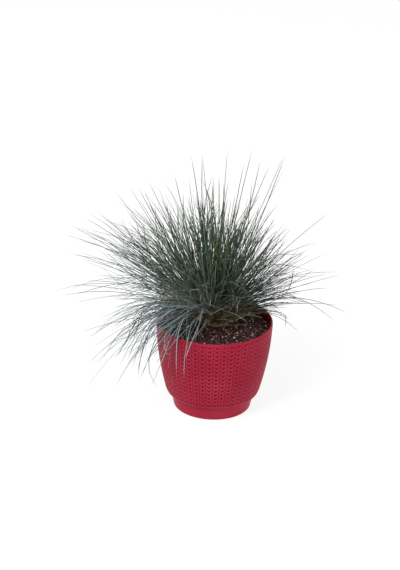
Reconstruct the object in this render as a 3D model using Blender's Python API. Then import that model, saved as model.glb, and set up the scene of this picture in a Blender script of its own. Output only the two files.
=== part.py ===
"""A blue fescue clump growing in a small crimson plastic pot with a knitted relief.

Metres, +Z up. The pot stands on z = 0 with its axis on Z, and -Y is the side that shows the bare soil.
The pot, the potting soil, the crown of the plant and each tuft of leaf blades are separate closed solids.
"""

import math
import random

import bmesh
import bpy
from mathutils import Vector, noise

# Clearance between pieces that rest on each other, and the width within which two points are one
GAP = 0.0003
NEAR = 1e-5

# The pot: a thin moulded shell, ribbed like knitting above a smooth narrower foot
POT_HEIGHT = 0.119
RIM_RADIUS = 0.0745
RIM_ROUND = 0.0006
WALL = 0.0018
FLOOR = 0.0025
FLOOR_ROUND = 0.0020
KNIT_COLUMNS = 46
KNIT_LEVELS = 4
KNIT_TOP = 0.1162
KNIT_BOTTOM = 0.0222
KNIT_DEPTH = 0.0007
BELLY_ARC = 0.378
BELLY_SLOPE = 0.0285
FOOT_TOP = 0.0194
FOOT_TOP_RADIUS = 0.0534
FOOT_RADIUS = 0.0500
FOOT_EDGE = 0.0018

# The potting soil, level with a finger's width below the rim
SOIL_EDGE = 0.1105
SOIL_SEAT = 0.1120
SOIL_LUMP = 0.0014
SOIL_LUMPS_PER_METRE = 130
SOIL_HEAP = 0.0004
SOIL_RINGS = 2

# The crown: the low dome of old leaf bases that the tufts grow from, set back from the middle of the pot
CROWN_PLACE = Vector((-0.003, 0.022, 0.0))
CROWN_SPHERE = 0.040
CROWN_HEIGHT = 0.015
CROWN_SIDES = 18
CROWN_RINGS = 4

# The tufts: a short sheath each, which parts into six blades
TUFTS = 48
TUFT_SPREAD = math.radians(46)
SHEATH_SIDES = 6
SHEATH_LENGTH = 0.012
SHEATH_RADIUS = 0.0035
SHEATH_TOP_RADIUS = 0.0031
FACET_CENTRE = 2 * math.cos(math.pi / SHEATH_SIDES) / 3
BLADE_STATIONS = (0.17, 0.46, 0.76)
BLADE_WIDTHS = (0.42, 0.36, 0.25)
BLADE_FAN = 2.10
BLADE_STRAY = math.radians(3.5)
SHORTEST_SHARE = 0.62
LONGEST_SHARE = 1.10
BLADE_BOW = 0.025
WIDEST_REACH = 1.12
UPRIGHT_ARCH = 0.05
LOW_ARCH = 0.36
ARCH_FROM = 0.9
ARCH_POWER = 1.8
UPRIGHT_LENGTH = 0.144
SEED = 82

# Outermost lean and length of the blades, each twelfth of a turn from +X towards +Y
EDGE_LEAN = [math.radians(lean) for lean in (62, 57, 58, 57, 60, 65, 64, 111, 102, 60, 55, 64)]
EDGE_LENGTH = (0.104, 0.107, 0.117, 0.142, 0.161, 0.165, 0.156, 0.142, 0.159, 0.147, 0.120, 0.104)

# The longest blades, as azimuth and lean in degrees and reach from the heart of the clump in metres
LONG_BLADES = (
    (65, 30, 0.212),
    (47, 36, 0.218),
    (28, 26, 0.218),
    (102, 29, 0.198),
    (118, 22, 0.196),
    (80, 20, 0.202),
    (125, 33, 0.180),
    (148, 45, 0.190),
    (160, 58, 0.200),
    (166, 66, 0.216),
    (172, 74, 0.192),
    (180, 87, 0.208),
    (196, 84, 0.186),
    (206, 96, 0.178),
    (211, 104, 0.188),
    (214, 111, 0.200),
    (222, 113, 0.174),
    (236, 116, 0.145),
    (22, 55, 0.194),
    (14, 67, 0.162),
    (7, 76, 0.172),
    (358, 91, 0.176),
    (345, 100, 0.118),
    (60, 70, 0.176),
    (85, 72, 0.190),
    (112, 70, 0.188),
    (135, 74, 0.186),
)
HEART = CROWN_PLACE + Vector((0.0, 0.0, 0.128))


def cleared_scene():
    for obj in list(bpy.data.objects):
        bpy.data.objects.remove(obj, do_unlink=True)


def finish(name, colour, roughness):
    """A plain surface in one colour, given as sRGB bytes."""
    material = bpy.data.materials.new(name)
    material.use_nodes = True
    linear = [(((c / 255) + 0.055) / 1.055) ** 2.4 if c > 10 else c / 255 / 12.92 for c in colour]
    shader = material.node_tree.nodes["Principled BSDF"]
    shader.inputs["Base Color"].default_value = (*linear, 1)
    shader.inputs["Roughness"].default_value = roughness
    shader.inputs["Metallic"].default_value = 0.0
    material.diffuse_color = (*linear, 1)
    return material


def make_object(name, bm, material, sharp_degrees):
    bmesh.ops.recalc_face_normals(bm, faces=bm.faces)
    mesh = bpy.data.meshes.new(name)
    bm.to_mesh(mesh)
    bm.free()
    mesh.materials.append(material)
    mesh.shade_smooth()
    mesh.set_sharp_from_angle(angle=math.radians(sharp_degrees))
    obj = bpy.data.objects.new(name, mesh)
    bpy.context.scene.collection.objects.link(obj)
    return obj


def circle(radius, height, sides, centre=(0.0, 0.0)):
    """A ring of points, the first of them at the front."""
    turns = [math.tau * i / sides - math.pi / 2 for i in range(sides)]
    return [
        Vector((centre[0] + radius * math.cos(turn), centre[1] + radius * math.sin(turn), height))
        for turn in turns
    ]


def lofted(rings):
    """A closed solid through rings of equal count, with a flat face at each end."""
    bm = bmesh.new()
    loops = [[bm.verts.new(point) for point in ring] for ring in rings]
    for lower, upper in zip(loops, loops[1:]):
        for i in range(len(lower)):
            j = (i + 1) % len(lower)
            bm.faces.new((lower[i], lower[j], upper[j], upper[i]))
    bm.faces.new(loops[0])
    bm.faces.new(loops[-1])
    return bm


# Pot


def belly_radius(height):
    """The knitted wall's outer radius: nearly upright at the rim, and bellied in towards the foot."""
    drop = KNIT_TOP - height
    return RIM_RADIUS - BELLY_SLOPE * drop - drop * drop / (2 * BELLY_ARC)


def inner_wall():
    """Heights and radii up the inside of the pot, the step over the foot among them."""
    foot_inside = FOOT_RADIUS - WALL
    middle = (KNIT_BOTTOM + KNIT_TOP) / 2
    return [
        (FLOOR, foot_inside - FLOOR_ROUND),
        (FLOOR + FLOOR_ROUND, foot_inside),
        (FOOT_TOP + WALL, FOOT_TOP_RADIUS - WALL),
        (KNIT_BOTTOM + WALL, belly_radius(KNIT_BOTTOM) - KNIT_DEPTH - WALL),
        (middle, belly_radius(middle) - KNIT_DEPTH - WALL),
        (POT_HEIGHT - RIM_ROUND, RIM_RADIUS - KNIT_DEPTH - WALL),
    ]


def make_pot(material):
    corner = FOOT_EDGE * (1 - math.sqrt(0.5))
    foot = [
        (0.0, FOOT_RADIUS - FOOT_EDGE),
        (corner, FOOT_RADIUS - corner),
        (FOOT_EDGE, FOOT_RADIUS),
        (FOOT_TOP, FOOT_TOP_RADIUS),
    ]
    knit = []
    for level in range(KNIT_LEVELS + 1):
        height = KNIT_BOTTOM + (KNIT_TOP - KNIT_BOTTOM) * level / KNIT_LEVELS
        knit.append((height, belly_radius(height) - KNIT_DEPTH))
    band = RIM_RADIUS - KNIT_DEPTH * 0.4
    rim = [
        (KNIT_TOP + RIM_ROUND, band),
        (POT_HEIGHT - RIM_ROUND, band),
        (POT_HEIGHT, band - RIM_ROUND),
        (POT_HEIGHT, RIM_RADIUS - KNIT_DEPTH - WALL + RIM_ROUND),
    ]
    profile = foot + knit + rim + inner_wall()[::-1]
    bm = lofted([circle(radius, height, KNIT_COLUMNS) for height, radius in profile])

    def in_knitting(vert):
        outside = math.hypot(*vert.co.xy) > belly_radius(vert.co.z) - KNIT_DEPTH - WALL / 2
        return outside and KNIT_BOTTOM - NEAR < vert.co.z < KNIT_TOP + NEAR

    level = [
        edge
        for edge in bm.edges
        if all(in_knitting(vert) for vert in edge.verts)
        and abs(edge.verts[0].co.z - edge.verts[1].co.z) < NEAR
    ]
    split = bmesh.ops.subdivide_edges(bm, edges=level, cuts=1, use_grid_fill=True)
    for vert in [item for item in split["geom_inner"] if isinstance(item, bmesh.types.BMVert)]:
        turn = math.atan2(vert.co.y, vert.co.x)
        ridge = belly_radius(vert.co.z)
        vert.co.xy = (ridge * math.cos(turn), ridge * math.sin(turn))
    make_object("pot", bm, material, sharp_degrees=28)


# Potting soil


def make_soil(material):
    wall = inner_wall()
    sides = [(FLOOR + GAP, wall[0][1])] + wall[1:-1]
    sides = [circle(radius - GAP, height, KNIT_COLUMNS) for height, radius in sides]
    (low, low_radius), (high, high_radius) = wall[-2:]
    share = (SOIL_EDGE - low) / (high - low)
    edge_radius = low_radius * (1 - share) + high_radius * share - GAP
    edge = circle(edge_radius, SOIL_EDGE, KNIT_COLUMNS)
    seat_radius = math.sqrt(CROWN_SPHERE**2 - (CROWN_SPHERE - CROWN_HEIGHT) ** 2) + 0.001
    seat = circle(seat_radius, SOIL_SEAT, KNIT_COLUMNS, CROWN_PLACE.xy)
    rings = [edge]
    for step in range(1, SOIL_RINGS + 1):
        share = step / (SOIL_RINGS + 1)
        ring = [outer.lerp(inner, share) for outer, inner in zip(edge, seat)]
        for point in ring:
            point.z += SOIL_LUMP * noise.noise(point * SOIL_LUMPS_PER_METRE) + SOIL_HEAP
        rings.append(ring)
    make_object("potting_soil", lofted(sides + rings + [seat]), material, sharp_degrees=60)


# Crown


def make_crown(material):
    base = SOIL_SEAT + GAP
    sunk = CROWN_SPHERE - CROWN_HEIGHT
    edge_turn = math.acos(sunk / CROWN_SPHERE)
    rings = []
    for step in range(CROWN_RINGS):
        turn = edge_turn * (1 - step / CROWN_RINGS)
        height = base + CROWN_SPHERE * math.cos(turn) - sunk
        rings.append(circle(CROWN_SPHERE * math.sin(turn), height, CROWN_SIDES, CROWN_PLACE.xy))
    make_object("crown", lofted(rings), material, sharp_degrees=50)


# Tufts


def direction(azimuth, lean):
    flat = math.sin(lean)
    return Vector((flat * math.cos(azimuth), flat * math.sin(azimuth), math.cos(lean)))


def by_azimuth(values, azimuth):
    """The value at an azimuth, read between evenly spaced ones."""
    place = azimuth / math.tau * len(values) % len(values)
    before = int(place)
    share = place - before
    return values[before] * (1 - share) + values[(before + 1) % len(values)] * share


def tuft_frame(number):
    """The seat of a tuft on the crown, its axis, and the sideways axes of its sheath."""
    share = (number + 0.5) / TUFTS
    lean = math.acos(1 - share * (1 - math.cos(TUFT_SPREAD)))
    azimuth = number * math.pi * (3 - math.sqrt(5))
    axis = direction(azimuth, lean)
    outward = direction(azimuth, lean + math.pi / 2)
    centre = CROWN_PLACE + Vector((0, 0, SOIL_SEAT + GAP - CROWN_SPHERE + CROWN_HEIGHT))
    return centre + axis * (CROWN_SPHERE + 2 * GAP), axis, outward, axis.cross(outward)


def around(outward, across, turn):
    return outward * math.cos(turn) + across * math.sin(turn)


def blade_tip(root, spot, draw):
    """Where a blade ends: the further its root is from the clump's axis, the further it leans."""
    azimuth = math.atan2(spot.y, spot.x)
    reach = min(spot.length / (CROWN_SPHERE * math.sin(TUFT_SPREAD)), WIDEST_REACH)
    lean = by_azimuth(EDGE_LEAN, azimuth) * reach + draw.gauss(0, BLADE_STRAY)
    length = UPRIGHT_LENGTH + (by_azimuth(EDGE_LENGTH, azimuth) - UPRIGHT_LENGTH) * min(reach, 1)
    length *= draw.uniform(SHORTEST_SHARE, LONGEST_SHARE)
    return root + direction(azimuth + draw.gauss(0, BLADE_STRAY), lean) * length


def blade_spine(root, tip, bow):
    """The points of an arching blade: the more it leans, the more it rises before it droops."""
    span = tip - root
    lean = span.angle(Vector((0, 0, 1)))
    arch = UPRIGHT_ARCH + LOW_ARCH * max(0.0, lean / ARCH_FROM - 1) ** ARCH_POWER
    rise = Vector((0, 0, arch * math.sin(min(lean, math.pi / 2))))
    crook = root + span * 0.5 + (rise + bow) * span.length
    spine = []
    for share in (*BLADE_STATIONS, 1.0):
        spine.append(root.lerp(crook, share).lerp(crook.lerp(tip, share), share))
    return spine


def grow_blade(bm, facet, spine):
    """Draws one facet of the sheath's top out along a spine into a three-sided blade."""
    facet.normal_update()
    start, axis = facet.calc_center_median(), facet.normal.copy()
    corners = [vert.co - start for vert in facet.verts]
    before = start
    for i, width in enumerate(BLADE_WIDTHS):
        facet = bmesh.ops.extrude_discrete_faces(bm, faces=[facet])["faces"][0]
        turned = axis.rotation_difference(spine[i + 1] - before)
        for vert, corner in zip(facet.verts, corners):
            vert.co = spine[i] + turned @ (corner * width)
        before = spine[i]
    facet = bmesh.ops.extrude_discrete_faces(bm, faces=[facet])["faces"][0]
    bmesh.ops.pointmerge(bm, verts=facet.verts, merge_co=spine[-1])


def plan_tufts():
    """The sheath and the blade tips of every tuft, the longest blades given to the roots they suit best."""
    draw = random.Random(SEED)
    tufts, blades = [], []
    for number in range(TUFTS):
        seat, axis, outward, across = tuft_frame(number)
        rings = []
        for height, radius in ((0.0, SHEATH_RADIUS), (SHEATH_LENGTH, SHEATH_TOP_RADIUS)):
            turns = [math.tau * side / SHEATH_SIDES for side in range(SHEATH_SIDES)]
            rings.append([seat + axis * height + around(outward, across, turn) * radius for turn in turns])
        tips, bows = [], []
        for side in range(SHEATH_SIDES):
            turn = math.tau * (side + 0.5) / SHEATH_SIDES
            offset = around(outward, across, turn) * SHEATH_TOP_RADIUS * FACET_CENTRE
            root = seat + axis * SHEATH_LENGTH + offset
            spot = seat - CROWN_PLACE + offset * BLADE_FAN
            tips.append(blade_tip(root, spot.xy, draw))
            bows.append(Vector([draw.gauss(0, BLADE_BOW) for _ in range(3)]))
            blades.append((number, side, root))
        tufts.append((rings, tips, bows))
    for azimuth, lean, length in LONG_BLADES:
        tip = HEART + direction(math.radians(azimuth), math.radians(lean)) * length

        def turn_needed(blade):
            number, side, root = blade
            return (tip - root).angle(tufts[number][1][side] - root)

        number, side, root = min(blades, key=turn_needed)
        blades.remove((number, side, root))
        tufts[number][1][side] = tip
    return tufts


def make_tuft(name, rings, tips, bows, material):
    bm = lofted(rings)
    bm.faces.ensure_lookup_table()
    facets = bmesh.ops.poke(bm, faces=[bm.faces[-1]])["faces"]
    for facet in facets:
        centre = facet.calc_center_median()
        corners = rings[1]
        side = min(
            range(SHEATH_SIDES),
            key=lambda i: (corners[i].lerp(corners[(i + 1) % SHEATH_SIDES], 0.5) - centre).length,
        )
        grow_blade(bm, facet, blade_spine(centre, tips[side], bows[side]))
    make_object(name, bm, material, sharp_degrees=70)


def main():
    cleared_scene()
    make_pot(finish("crimson plastic", (165, 32, 56), 0.38))
    make_soil(finish("potting soil", (46, 32, 30), 0.95))
    make_crown(finish("old leaf bases", (96, 84, 52), 0.9))
    heart = finish("heart blades", (62, 84, 68), 0.6)
    middle = finish("middle blades", (84, 104, 96), 0.6)
    outer = finish("outer blades", (112, 128, 130), 0.6)
    for number, tuft in enumerate(plan_tufts()):
        material = heart if number < 10 else middle if number < 26 else outer
        make_tuft(f"leaf_tuft_{number + 1:02d}", *tuft, material)


main()
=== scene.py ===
"""Looks of a blue fescue clump in a small crimson plastic pot. Metres, +Z up, -Y is the front."""

import math

import bmesh
import bpy
from mathutils import Matrix, Vector


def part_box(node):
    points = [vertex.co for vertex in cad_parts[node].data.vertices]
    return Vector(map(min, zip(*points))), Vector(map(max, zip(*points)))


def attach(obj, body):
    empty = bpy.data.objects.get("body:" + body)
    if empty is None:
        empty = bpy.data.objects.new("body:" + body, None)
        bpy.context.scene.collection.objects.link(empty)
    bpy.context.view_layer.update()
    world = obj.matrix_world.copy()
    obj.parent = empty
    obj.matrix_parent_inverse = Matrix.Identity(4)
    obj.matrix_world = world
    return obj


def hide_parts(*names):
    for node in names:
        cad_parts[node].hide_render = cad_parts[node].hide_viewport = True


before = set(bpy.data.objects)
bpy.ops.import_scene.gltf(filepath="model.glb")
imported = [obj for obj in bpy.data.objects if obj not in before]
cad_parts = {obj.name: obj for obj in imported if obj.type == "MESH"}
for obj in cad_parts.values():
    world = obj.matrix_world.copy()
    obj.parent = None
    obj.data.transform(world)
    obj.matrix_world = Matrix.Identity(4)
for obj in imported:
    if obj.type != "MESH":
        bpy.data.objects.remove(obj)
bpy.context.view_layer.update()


# -------------------------------------------------------------------------------------------------
# Camera. It looks down on the rim from the side where the bare soil shows, through a long lens,
# with the slight turn to the left that a hand-held camera gives.

VIEW_ELEVATION = math.radians(28.0)
VIEW_ROLL = math.radians(1.73)
VIEW_DISTANCE = 2.5
VIEW_LENS = 121.0
AIM_SIDEWAYS = -0.0207
AIM_UPWARDS = 0.1517

eye = VIEW_DISTANCE * Vector((0, -math.cos(VIEW_ELEVATION), math.sin(VIEW_ELEVATION)))
aim = AIM_UPWARDS * Vector((0, math.sin(VIEW_ELEVATION), math.cos(VIEW_ELEVATION)))
aim.x = AIM_SIDEWAYS
forward = (aim - eye).normalized()
level = forward.cross(Vector((0, 0, 1))).normalized()
upright = level.cross(forward)
rightwards = level * math.cos(VIEW_ROLL) + upright * math.sin(VIEW_ROLL)
upwards = upright * math.cos(VIEW_ROLL) - level * math.sin(VIEW_ROLL)
towards = Matrix((rightwards, upwards, -forward)).transposed().to_4x4()
camera = bpy.data.objects.new("camera", bpy.data.cameras.new("camera"))
camera.data.lens = VIEW_LENS
camera.matrix_world = Matrix.Translation(eye) @ towards
bpy.context.scene.collection.objects.link(camera)
bpy.context.scene.camera = camera


# -------------------------------------------------------------------------------------------------
# Floor and light. The pot stands on a plain sheet of paper that glows evenly white, as on a light
# table, under a large soft box on the left and a weaker one on the right, in a white room.

FLOOR_HALF = 6.0
FLOOR_WHITE = (0.20, 0.20, 0.20, 1)
FLOOR_GLOW = 0.83
ROOM_STRENGTH = 0.62
PLAIN_WHITE = (1, 1, 1, 1)
LIT_PLACE = Vector((0, 0, 0.15))
SOFT_BOXES = (
    # name, place, side in metres, watts
    ("key_light", (-1.3, -1.6, 2.3), 1.3, 70.0),
    ("fill_light", (1.9, -1.2, 1.3), 1.8, 14.0),
)


class Wire:
    """A value in a node tree. Sums on it add Math nodes, or Vector Math nodes for a vector."""

    def __init__(self, wiring, socket):
        self.wiring = wiring
        self.socket = socket

    def maths(self, operation, *others):
        return self.wiring.maths(operation, self, *others)

    def __add__(self, other):
        return self.maths("ADD", other)

    def __radd__(self, other):
        return self.wiring.maths("ADD", other, self)

    def __sub__(self, other):
        return self.maths("SUBTRACT", other)

    def __rsub__(self, other):
        return self.wiring.maths("SUBTRACT", other, self)

    def __mul__(self, other):
        return self.maths("MULTIPLY", other)

    def __rmul__(self, other):
        return self.wiring.maths("MULTIPLY", other, self)

    def __truediv__(self, other):
        return self.maths("DIVIDE", other)

    def __pow__(self, other):
        return self.maths("POWER", other)

    def __lt__(self, other):
        return self.maths("LESS_THAN", other)

    def __gt__(self, other):
        return self.maths("GREATER_THAN", other)

    def clamped(self):
        return self.maths("MAXIMUM", 0.0).maths("MINIMUM", 1.0)

    def ramped(self, low, high):
        """0 below low, 1 above high, and a smooth rise between them."""
        inputs = {"Value": self, "From Min": low, "From Max": high}
        return self.wiring.node("ShaderNodeMapRange", {"interpolation_type": "SMOOTHSTEP"}, inputs)

    def banded(self, low, full, last, high):
        """0 below low, 1 from full to last, 0 again above high, and smooth in between."""
        return self.ramped(low, full) * (1.0 - self.ramped(last, high))


class Wiring:
    """A node tree that is written as sums. node() adds any node and gives one of its outputs."""

    def __init__(self, tree):
        self.tree = tree

    def node(self, kind, settings=None, inputs=None, output=None):
        made = self.tree.nodes.new(kind)
        for name, value in (settings or {}).items():
            setattr(made, name, value)
        for name, value in (inputs or {}).items():
            self.feed(made, name, value)
        usable = [socket for socket in made.outputs if socket.enabled]
        return Wire(self, next(socket for socket in usable if output in (None, socket.name)))

    def feed(self, made, name, value):
        if isinstance(name, int):
            socket = made.inputs[name]
        else:
            socket = next(s for s in made.inputs if s.enabled and name in (s.name, s.identifier))
        if isinstance(value, Wire):
            self.tree.links.new(value.socket, socket)
        elif socket.type == "VECTOR" and isinstance(value, (int, float)):
            socket.default_value = (value, value, value)
        else:
            socket.default_value = value

    def maths(self, operation, *values):
        sorts = {value.socket.type if isinstance(value, Wire) else type(value) for value in values}
        kind = "ShaderNodeVectorMath" if sorts & {"VECTOR", Vector} else "ShaderNodeMath"
        return self.node(kind, {"operation": operation}, dict(enumerate(values)))

    def blend(self, share, first, second):
        """A colour between two colours."""
        inputs = {"Factor": share, "A": first, "B": second}
        return self.node("ShaderNodeMix", {"data_type": "RGBA"}, inputs)

    def noise(self, place, scale, detail=2.0, roughness=0.5):
        inputs = {"Vector": place, "Scale": scale, "Detail": detail, "Roughness": roughness}
        return self.node("ShaderNodeTexNoise", None, inputs)

    def attribute(self, name):
        """A number that the piece's mesh keeps, for a material."""
        return self.node("ShaderNodeAttribute", {"attribute_name": name}, None, "Fac")

    def parts(self, vector):
        """The X, Y and Z of a vector."""
        outputs = self.node("ShaderNodeSeparateXYZ", None, {0: vector}).socket.node.outputs
        return [Wire(self, outputs[axis]) for axis in "XYZ"]

    def surfaced(self, shader, colour, roughness, relief, strength, distance):
        """Gives a shader what varies over the surface, down to its finest relief."""
        inputs = {"Strength": strength, "Distance": distance, "Height": relief}
        bumps = self.node("ShaderNodeBump", None, inputs)
        for name, wire in (("Base Color", colour), ("Roughness", roughness), ("Normal", bumps)):
            self.tree.links.new(wire.socket, shader.inputs[name])


def finish_of(name, **sockets):
    """A material, its wiring and its shader, which has what is the same all over."""
    material = bpy.data.materials.new(name)
    material.use_nodes = True
    shader = material.node_tree.nodes["Principled BSDF"]
    for socket, value in sockets.items():
        socket = socket.replace("_", " ").title().replace("Ior", "IOR")
        shader.inputs[socket].default_value = value
    return material, Wiring(material.node_tree), shader


paper, wiring, shader = finish_of(
    "lit paper", base_color=FLOOR_WHITE, roughness=1.0, specular_ior_level=0.0,
    emission_color=PLAIN_WHITE, emission_strength=FLOOR_GLOW,
)
corners = [FLOOR_HALF * Vector((x, y, 0)) for x, y in ((-1, -1), (1, -1), (1, 1), (-1, 1))]
floor = bpy.data.objects.new("floor", bpy.data.meshes.new("floor"))
floor.data.from_pydata(corners, [], [(0, 1, 2, 3)])
floor.data.materials.append(paper)
bpy.context.scene.collection.objects.link(floor)

for name, place, side, watts in SOFT_BOXES:
    lamp = bpy.data.lights.new(name, "AREA")
    lamp.size = side
    lamp.energy = watts
    box = bpy.data.objects.new(name, lamp)
    box.location = place
    box.rotation_mode = "QUATERNION"
    box.rotation_quaternion = (LIT_PLACE - box.location).to_track_quat("-Z", "Y")
    bpy.context.scene.collection.objects.link(box)
room = bpy.data.worlds.new("white room")
room.use_nodes = True
room.node_tree.nodes["Background"].inputs["Color"].default_value = PLAIN_WHITE
room.node_tree.nodes["Background"].inputs["Strength"].default_value = ROOM_STRENGTH
bpy.context.scene.world = room
bpy.context.scene.view_settings.view_transform = "Standard"


# -------------------------------------------------------------------------------------------------
# Pot. One thin-walled injection moulding in crimson plastic: 50 upright columns of knitted
# stitches in low relief, a smooth rounded rim above them, and a smooth narrower foot under them.
# Its colour holds painted shade in the knit's hollows and a painted highlight on each stitch.

POT_HEIGHT = 0.119
RIM_RADIUS = 0.0745
RIM_ROUND = 0.0009
BAND_INSET = 0.4
BAND_STEP = 0.0003
BAND_RISES = (0.0004, 0.0005, 0.0009)
WALL = 0.0018
WALL_HEIGHTS = (0.112, 0.105, 0.085, 0.060, 0.040)
POT_FLOOR = 0.0025
FLOOR_CORNER = 0.002
BELLY_ARC = 0.378
BELLY_SLOPE = 0.0285
FOOT_TOP = 0.0194
FOOT_TOP_RADIUS = 0.0534
FOOT_RADIUS = 0.0500
FOOT_EDGE = 0.0018
THROAT_FILLET = (0.0001, 0.0009)
THROAT_SHARES = (0.12, 0.80)
KNIT_TOP = 0.1162
KNIT_BOTTOM = 0.0222
KNIT_FILLET = (0.0002, 0.0007)
KNIT_DEPTH = 0.0007
KNIT_COLUMNS = 50
SAMPLES_PER_COLUMN = 10
SAMPLES_PER_STITCH = 9
STITCH_PITCH = 0.00585
STITCH_RISE = 0.86
STITCH_CURVE = 1.4
ROUNDING = 0.0001
# A stitch runs from -1 at its lower end to 1 at its upper end, and from 0 at the middle of its
# column to 1 at the seam.
PIT_ALONG = (-0.75, -0.40, -0.10, 0.65)
PIT_ACROSS = (0.30, 0.72)
GROOVE_ALONG = (-0.95, -0.60, -0.50, -0.05)
GROOVE_DEPTH = 0.62
SEAM_ACROSS = (0.76, 1.0)
SEAM_DEPTH = 0.9
# Where the painted highlight lies on a stitch: along its lower lip and along its arms.
EDGE_ALONG = (-1.10, -0.74, -0.66, -0.40)
EDGE_ACROSS = (0.75, 1.0)
ARM_ACROSS = (0.35, 0.60, 0.70, 0.95)
ARM_SHARE = 0.4
STRAIGHT_END = 0.007
FIRST_STITCH = 0.25
LAST_STITCH = 0.0012
FADED_TOP = (0.018, 0.004)
FADED_SHARE = 0.45
CRIMSON = (0.256, 0.0066, 0.0230, 1)
# Painted shade: the darker crimson that the knit's pits, grooves and seams are given.
CRIMSON_PIT_SHADE = (0.160, 0.0036, 0.0140, 1)
# Painted highlight: the lighter pink of each stitch's lower lip and arms, put more faintly on all
# the smooth parts.
CRIMSON_HIGHLIGHT = (0.600, 0.0760, 0.1300, 1)
SMOOTH_HIGHLIGHT = 0.42
PIT_SHADING = (0.05, 0.75)
MOST_HIGHLIGHT = 0.9
CLOUD_SCALE = 28.0
GRAIN_SCALE = 1400.0
GRAIN_HEIGHT = 0.00012


class Growth(Wiring):
    """A Geometry Nodes tree with named inputs, which works on the geometry that it is given."""

    def __init__(self, name):
        super().__init__(bpy.data.node_groups.new(name, "GeometryNodeTree"))
        for way in ("INPUT", "OUTPUT"):
            self.tree.interface.new_socket("Geometry", in_out=way, socket_type="NodeSocketGeometry")
        self.entry = self.tree.nodes.new("NodeGroupInput")
        self.given = Wire(self, self.entry.outputs["Geometry"])
        self.identifiers = {}

    def size(self, name, value, kind="Float"):
        kind = "NodeSocket" + kind
        item = self.tree.interface.new_socket(name, in_out="INPUT", socket_type=kind)
        if value is not None:
            item.default_value = value
        self.identifiers[name] = item.identifier
        return Wire(self, self.entry.outputs[name])

    def named(self, name):
        """A number that the mesh keeps, for the tree."""
        inputs = {"Name": name}
        return self.node("GeometryNodeInputNamedAttribute", {"data_type": "FLOAT"}, inputs)

    def stored(self, geometry, name, value, kind="FLOAT", domain="POINT"):
        settings = {"data_type": kind, "domain": domain}
        inputs = {"Geometry": geometry, "Name": name, "Value": value}
        return self.node("GeometryNodeStoreNamedAttribute", settings, inputs)

    def moved(self, geometry, **shift):
        """The geometry with a new position, or an offset from the old one."""
        inputs = {"Geometry": geometry, **{name.title(): value for name, value in shift.items()}}
        return self.node("GeometryNodeSetPosition", None, inputs)

    def chance(self, low, high, seed, kind="FLOAT"):
        inputs = {"Min": low, "Max": high, "Seed": seed}
        return self.node("FunctionNodeRandomValue", {"data_type": kind}, inputs)

    def ended(self, geometry, material):
        """Ends the tree: instances made real, smooth, in one material."""
        geometry = self.node("GeometryNodeRealizeInstances", None, {"Geometry": geometry})
        geometry = self.node("GeometryNodeSetShadeSmooth", None, {"Geometry": geometry})
        inputs = {"Geometry": geometry, "Material": material}
        geometry = self.node("GeometryNodeSetMaterial", None, inputs)
        exit_node = self.tree.nodes.new("NodeGroupOutput")
        self.tree.links.new(geometry.socket, exit_node.inputs["Geometry"])

    def grown(self, name, mesh, **sizes):
        """The plain object that the tree makes from a mesh."""
        start = bpy.data.objects.new(name + "_start", mesh)
        bpy.context.scene.collection.objects.link(start)
        modifier = start.modifiers.new("growth", "NODES")
        modifier.node_group = self.tree
        for label, value in sizes.items():
            modifier[self.identifiers[label.replace("_", " ").title()]] = value
        start.update_tag()
        graph = bpy.context.evaluated_depsgraph_get()
        made = bpy.data.meshes.new_from_object(start.evaluated_get(graph), depsgraph=graph)
        bpy.data.objects.remove(start)
        made.name = name
        piece = bpy.data.objects.new(name, made)
        bpy.context.scene.collection.objects.link(piece)
        return piece


def turned(growth, around):
    """A grid to bend round the Z axis. Each column of it is the given outline, which lies in XZ.

    Gives the grid, how far round each point is in steps, and the radius, height and mark of the
    point of the outline that it belongs to.
    """
    given = {0: growth.given}
    counted = {"component": "MESH"}
    rows = growth.node("GeometryNodeAttributeDomainSize", counted, given, "Point Count")
    inputs = {"Size X": 1.0, "Size Y": 1.0, "Vertices X": around + 1, "Vertices Y": rows}
    grid = growth.node("GeometryNodeMeshGrid", None, inputs)
    chart = Wire(growth, grid.socket.node.outputs["UV Map"])
    grid = growth.stored(grid, "OFBake", chart, "FLOAT2", "CORNER")
    index = growth.node("GeometryNodeInputIndex")
    step = (index / rows + ROUNDING).maths("FLOOR")
    row = index - step * rows

    def sampled(value, kind):
        inputs = {"Geometry": growth.given, "Value": value, "Index": row}
        return growth.node("GeometryNodeSampleIndex", {"data_type": kind}, inputs)

    point = sampled(growth.node("GeometryNodeInputPosition"), "FLOAT_VECTOR")
    radius, _, height = growth.parts(point)
    return grid, step, radius, height, sampled(growth.named("mark"), "FLOAT")


def closed_turn(growth, grid, turn, radius, height):
    """Sets a turned grid's points and closes its seam and its poles."""
    sideways = radius * turn.maths("SINE")
    depth = radius * turn.maths("COSINE") * -1.0
    place = growth.node("ShaderNodeCombineXYZ", None, {"X": sideways, "Y": depth, "Z": height})
    inputs = {"Geometry": growth.moved(grid, position=place), "Distance": 1e-6}
    return growth.node("GeometryNodeMergeByDistance", None, inputs)


def outline_mesh(name, points, marks):
    """A mesh of an outline's points, with one number for each in the attribute mark."""
    mesh = bpy.data.meshes.new(name)
    edges = [(i, i + 1) for i in range(len(points) - 1)]
    mesh.from_pydata([(radius, 0.0, height) for radius, height in points], edges, [])
    mesh.attributes.new("mark", "FLOAT", "POINT").data.foreach_set("value", marks)
    return mesh


def rounded(start, corner, end, steps=3):
    """Points of a rounded corner."""
    shares = [step / steps for step in range(steps + 1)]
    start, corner, end = Vector(start), Vector(corner), Vector(end)
    return [tuple(start.lerp(corner, t).lerp(corner.lerp(end, t), t)) for t in shares]


def belly_radius(height):
    drop = KNIT_TOP - height
    return RIM_RADIUS - BELLY_SLOPE * drop - drop * drop / (2 * BELLY_ARC)


def wall_inside(height):
    return belly_radius(height) - KNIT_DEPTH - WALL


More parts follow.
